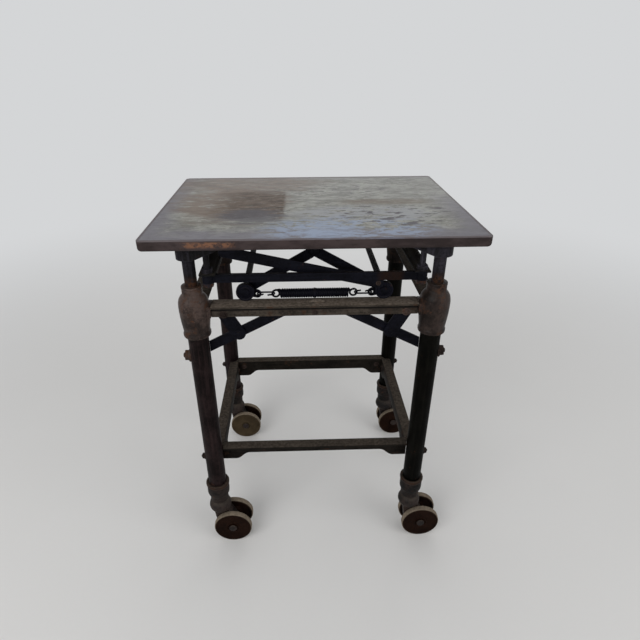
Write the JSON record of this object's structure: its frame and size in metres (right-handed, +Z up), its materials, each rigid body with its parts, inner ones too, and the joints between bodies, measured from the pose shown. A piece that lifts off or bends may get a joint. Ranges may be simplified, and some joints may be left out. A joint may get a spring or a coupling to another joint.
{
  "type": "printers turtle table",
  "caption": "Low iron work table on twin-wheel swivel casters, its thick steel top carried by a sprung toggle lift on guide posts.",
  "frame": {"origin": "on the floor, under the middle of the top", "axes": "+Z up, +X to the right along the long side, -Y towards the front"},
  "size_m": [0.66, 0.508, 0.8493],
  "materials": {
    "top_steel": "worn, with brown patina",
    "casting": "oily black with rust",
    "pipe": "worn dark paint",
    "rail": "dusty",
    "bar": "blue-black",
    "roller_steel": "oily",
    "spring_wire": "blue-black",
    "wheel_iron": "rusty faces and worn treads"
  },
  "bodies": {
    "frame": {"socket_front_left": "casting", "socket_front_right": "casting", "socket_back_left": "casting", "socket_back_right": "casting", "caster_ferrule_front_left": "casting", "caster_ferrule_front_right": "casting", "caster_ferrule_back_left": "casting", "caster_ferrule_back_right": "casting", "leg_front_left": "pipe", "leg_front_right": "pipe", "leg_back_left": "pipe", "leg_back_right": "pipe", "upper_rail_front": "rail", "upper_rail_back": "rail", "upper_rail_left": "rail", "upper_rail_right": "rail", "lower_rail_front": "rail", "lower_rail_back": "rail", "lower_rail_left": "rail", "lower_rail_right": "rail", "front_brace_left": "bar", "front_brace_right": "bar", "brace_strap_left": "bar", "brace_strap_right": "bar", "lift_spring_front": "spring_wire", "lift_spring_back": "spring_wire"},
    "top": {"top_plate": "top_steel", "corner_bracket_front_left": "casting", "corner_bracket_front_right": "casting", "corner_bracket_back_left": "casting", "corner_bracket_back_right": "casting", "apex_lug_front": "casting", "apex_lug_back": "casting", "cross_bar_front": "bar", "cross_bar_back": "bar", "side_flat_left": "bar", "side_flat_right": "bar", "diagonal_stay": "bar"},
    "left_foot": {"roller_axle_left": "roller_steel"},
    "left_struts": {"strut_front_left": "bar", "strut_back_left": "bar"},
    "roller_front_left": {"roller_front_left": "roller_steel"},
    "roller_back_left": {"roller_back_left": "roller_steel"},
    "right_foot": {"roller_axle_right": "roller_steel"},
    "right_struts": {"strut_front_right": "bar", "strut_back_right": "bar"},
    "roller_front_right": {"roller_front_right": "roller_steel"},
    "roller_back_right": {"roller_back_right": "roller_steel"},
    "swivel_front_left": {"caster_swivel_front_left": "casting"},
    "wheel_front_left_front": {"wheel_front_left_front": "wheel_iron"},
    "wheel_front_left_back": {"wheel_front_left_back": "wheel_iron"},
    "swivel_front_right": {"caster_swivel_front_right": "casting"},
    "wheel_front_right_front": {"wheel_front_right_front": "wheel_iron"},
    "wheel_front_right_back": {"wheel_front_right_back": "wheel_iron"},
    "swivel_back_left": {"caster_swivel_back_left": "casting"},
    "wheel_back_left_front": {"wheel_back_left_front": "wheel_iron"},
    "wheel_back_left_back": {"wheel_back_left_back": "wheel_iron"},
    "swivel_back_right": {"caster_swivel_back_right": "casting"},
    "wheel_back_right_front": {"wheel_back_right_front": "wheel_iron"},
    "wheel_back_right_back": {"wheel_back_right_back": "wheel_iron"}
  },
  "joints": [
    {"name": "top_lift", "type": "slide", "parent": "frame", "child": "top", "axis": [0, 0, 1], "range_m": [-0.019, 0], "stiffness_N_per_m": 40000, "springref_m": 0.02, "deforming": ["lift_spring_front", "lift_spring_back"]},
    {"name": "left_foot_slide", "type": "slide", "parent": "frame", "child": "left_foot", "axis": [1, 0, 0], "range_m": [-0.00941, 0]},
    {"name": "left_strut_swing", "type": "hinge", "parent": "left_foot", "child": "left_struts", "pos_m": [-0.1445, 0, 0.71421], "axis": [0, 1, 0], "range_deg": [0, 7.34]},
    {"name": "roller_front_left_roll", "type": "hinge", "parent": "left_foot", "child": "roller_front_left", "pos_m": [-0.1445, 0, 0.71421], "axis": [0, 1, 0], "continuous": true},
    {"name": "roller_back_left_roll", "type": "hinge", "parent": "left_foot", "child": "roller_back_left", "pos_m": [-0.1445, 0, 0.71421], "axis": [0, 1, 0], "continuous": true},
    {"name": "right_foot_slide", "type": "slide", "parent": "frame", "child": "right_foot", "axis": [1, 0, 0], "range_m": [0, 0.00941]},
    {"name": "right_strut_swing", "type": "hinge", "parent": "right_foot", "child": "right_struts", "pos_m": [0.1445, 0, 0.71421], "axis": [0, 1, 0], "range_deg": [-7.34, 0]},
    {"name": "roller_front_right_roll", "type": "hinge", "parent": "right_foot", "child": "roller_front_right", "pos_m": [0.1445, 0, 0.71421], "axis": [0, 1, 0], "continuous": true},
    {"name": "roller_back_right_roll", "type": "hinge", "parent": "right_foot", "child": "roller_back_right", "pos_m": [0.1445, 0, 0.71421], "axis": [0, 1, 0], "continuous": true},
    {"name": "swivel_front_left_turn", "type": "hinge", "parent": "frame", "child": "swivel_front_left", "pos_m": [-0.2495, -0.2045, 0.112], "axis": [0, 0, 1], "continuous": true},
    {"name": "wheel_front_left_front_roll", "type": "hinge", "parent": "swivel_front_left", "child": "wheel_front_left_front", "pos_m": [-0.2185, -0.2045, 0.0489], "axis": [0, 1, 0], "continuous": true},
    {"name": "wheel_front_left_back_roll", "type": "hinge", "parent": "swivel_front_left", "child": "wheel_front_left_back", "pos_m": [-0.2185, -0.2045, 0.0489], "axis": [0, 1, 0], "continuous": true},
    {"name": "swivel_front_right_turn", "type": "hinge", "parent": "frame", "child": "swivel_front_right", "pos_m": [0.2495, -0.2045, 0.112], "axis": [0, 0, 1], "continuous": true},
    {"name": "wheel_front_right_front_roll", "type": "hinge", "parent": "swivel_front_right", "child": "wheel_front_right_front", "pos_m": [0.2805, -0.2045, 0.0489], "axis": [0, 1, 0], "continuous": true},
    {"name": "wheel_front_right_back_roll", "type": "hinge", "parent": "swivel_front_right", "child": "wheel_front_right_back", "pos_m": [0.2805, -0.2045, 0.0489], "axis": [0, 1, 0], "continuous": true},
    {"name": "swivel_back_left_turn", "type": "hinge", "parent": "frame", "child": "swivel_back_left", "pos_m": [-0.2495, 0.2045, 0.112], "axis": [0, 0, 1], "continuous": true},
    {"name": "wheel_back_left_front_roll", "type": "hinge", "parent": "swivel_back_left", "child": "wheel_back_left_front", "pos_m": [-0.2185, 0.2045, 0.0489], "axis": [0, 1, 0], "continuous": true},
    {"name": "wheel_back_left_back_roll", "type": "hinge", "parent": "swivel_back_left", "child": "wheel_back_left_back", "pos_m": [-0.2185, 0.2045, 0.0489], "axis": [0, 1, 0], "continuous": true},
    {"name": "swivel_back_right_turn", "type": "hinge", "parent": "frame", "child": "swivel_back_right", "pos_m": [0.2495, 0.2045, 0.112], "axis": [0, 0, 1], "continuous": true},
    {"name": "wheel_back_right_front_roll", "type": "hinge", "parent": "swivel_back_right", "child": "wheel_back_right_front", "pos_m": [0.2805, 0.2045, 0.0489], "axis": [0, 1, 0], "continuous": true},
    {"name": "wheel_back_right_back_roll", "type": "hinge", "parent": "swivel_back_right", "child": "wheel_back_right_back", "pos_m": [0.2805, 0.2045, 0.0489], "axis": [0, 1, 0], "continuous": true}
  ],
  "couplings": [
    {"joint": "left_foot_slide", "follows": "top_lift", "ratio": 0.4901},
    {"joint": "left_strut_swing", "follows": "top_lift", "rad_per_m": -6.6954},
    {"joint": "right_foot_slide", "follows": "top_lift", "ratio": -0.4901},
    {"joint": "right_strut_swing", "follows": "top_lift", "rad_per_m": 6.6954}
  ]
}
